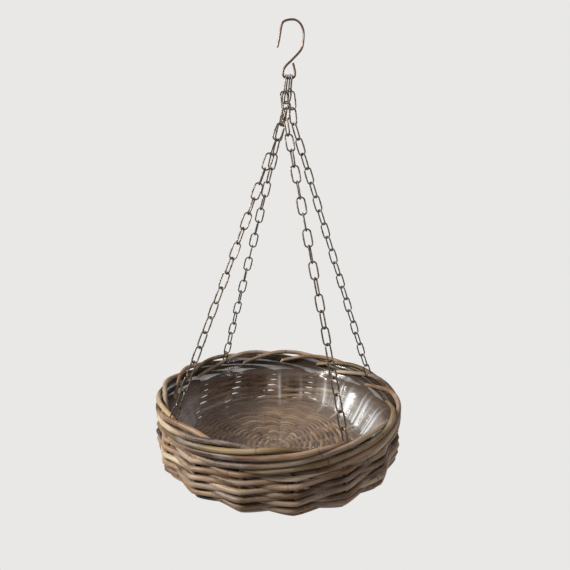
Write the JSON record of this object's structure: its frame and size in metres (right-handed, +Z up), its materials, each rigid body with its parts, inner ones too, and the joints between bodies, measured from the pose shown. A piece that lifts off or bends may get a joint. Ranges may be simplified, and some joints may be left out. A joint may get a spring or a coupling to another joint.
{
  "type": "hanging basket",
  "caption": "Round woven rattan basket with a rolled border and a clear liner, hung by four link chains from an S-hook.",
  "frame": {"origin": "point inside the hook's crook that bears the load, at the crown's underside", "axes": "+Z up, along the hanging basket's axis; the picture's camera looks along +Y, with +X to its right; the hook's wire lies in the XZ plane"},
  "size_m": [0.3442, 0.3442, 0.5834],
  "materials": {
    "hook_steel": "bent steel wire, dull, brown-grey",
    "chain_steel": "zinc-plated steel wire, dulled, brown-grey",
    "rattan_grey": "peeled rattan, weathered grey",
    "rattan_olive": "peeled rattan, olive brown",
    "rattan_red_brown": "peeled rattan, red brown",
    "rattan_brown": "peeled rattan, brown",
    "rattan_beige_grey": "peeled rattan, beige grey",
    "rattan_dark_brown": "peeled rattan, dark brown",
    "liner_film": "clear polyethylene film, creased, glossy"
  },
  "bodies": {
    "hook": {"s_hook": "hook_steel"},
    "top_links": {"chain_front_left_link_01": "chain_steel", "chain_back_left_link_01": "chain_steel", "chain_front_right_link_01": "chain_steel", "chain_back_right_link_01": "chain_steel"},
    "basket": {"chain_front_left_link_02": "chain_steel", "chain_front_left_run_03_12": "chain_steel", "chain_front_left_run_13_22": "chain_steel", "chain_front_left_link_23": "chain_steel", "chain_back_left_link_02": "chain_steel", "chain_back_left_run_03_12": "chain_steel", "chain_back_left_run_13_22": "chain_steel", "chain_back_left_link_23": "chain_steel", "chain_front_right_link_02": "chain_steel", "chain_front_right_run_03_12": "chain_steel", "chain_front_right_run_13_22": "chain_steel", "chain_front_right_link_23": "chain_steel", "chain_back_right_link_02": "chain_steel", "chain_back_right_run_03_12": "chain_steel", "chain_back_right_run_13_22": "chain_steel", "chain_back_right_link_23": "chain_steel", "stake_01": "rattan_grey", "stake_02": "rattan_olive", "stake_03": "rattan_red_brown", "stake_04": "rattan_grey", "stake_05": "rattan_olive", "stake_06": "rattan_red_brown", "stake_07": "rattan_grey", "stake_08": "rattan_olive", "stake_09": "rattan_red_brown", "stake_10": "rattan_grey", "stake_11": "rattan_olive", "stake_12": "rattan_red_brown", "stake_13": "rattan_grey", "stake_14": "rattan_olive", "stake_15": "rattan_red_brown", "stake_16": "rattan_grey", "weaver_01_a": "rattan_brown", "weaver_01_b": "rattan_beige_grey", "weaver_02_a": "rattan_dark_brown", "weaver_02_b": "rattan_brown", "weaver_03_a": "rattan_beige_grey", "weaver_03_b": "rattan_dark_brown", "weaver_04_a": "rattan_brown", "weaver_04_b": "rattan_beige_grey", "weaver_05_a": "rattan_dark_brown", "weaver_05_b": "rattan_brown", "weaver_06_a": "rattan_beige_grey", "weaver_06_b": "rattan_dark_brown", "weaver_07_a": "rattan_brown", "weaver_07_b": "rattan_beige_grey", "weaver_08_a": "rattan_dark_brown", "weaver_08_b": "rattan_brown", "base_weave": "rattan_brown", "liner": "liner_film"}
  },
  "joints": [
    {"name": "swing_front_back", "type": "hinge", "parent": "hook", "child": "top_links", "pos_m": [0, 0, -0.0665], "axis": [1, 0, 0], "range_deg": [-45, 45]},
    {"name": "swing_side", "type": "hinge", "parent": "top_links", "child": "basket", "pos_m": [0, 0, -0.08435], "axis": [0, 1, 0], "range_deg": [-8, 8]}
  ]
}
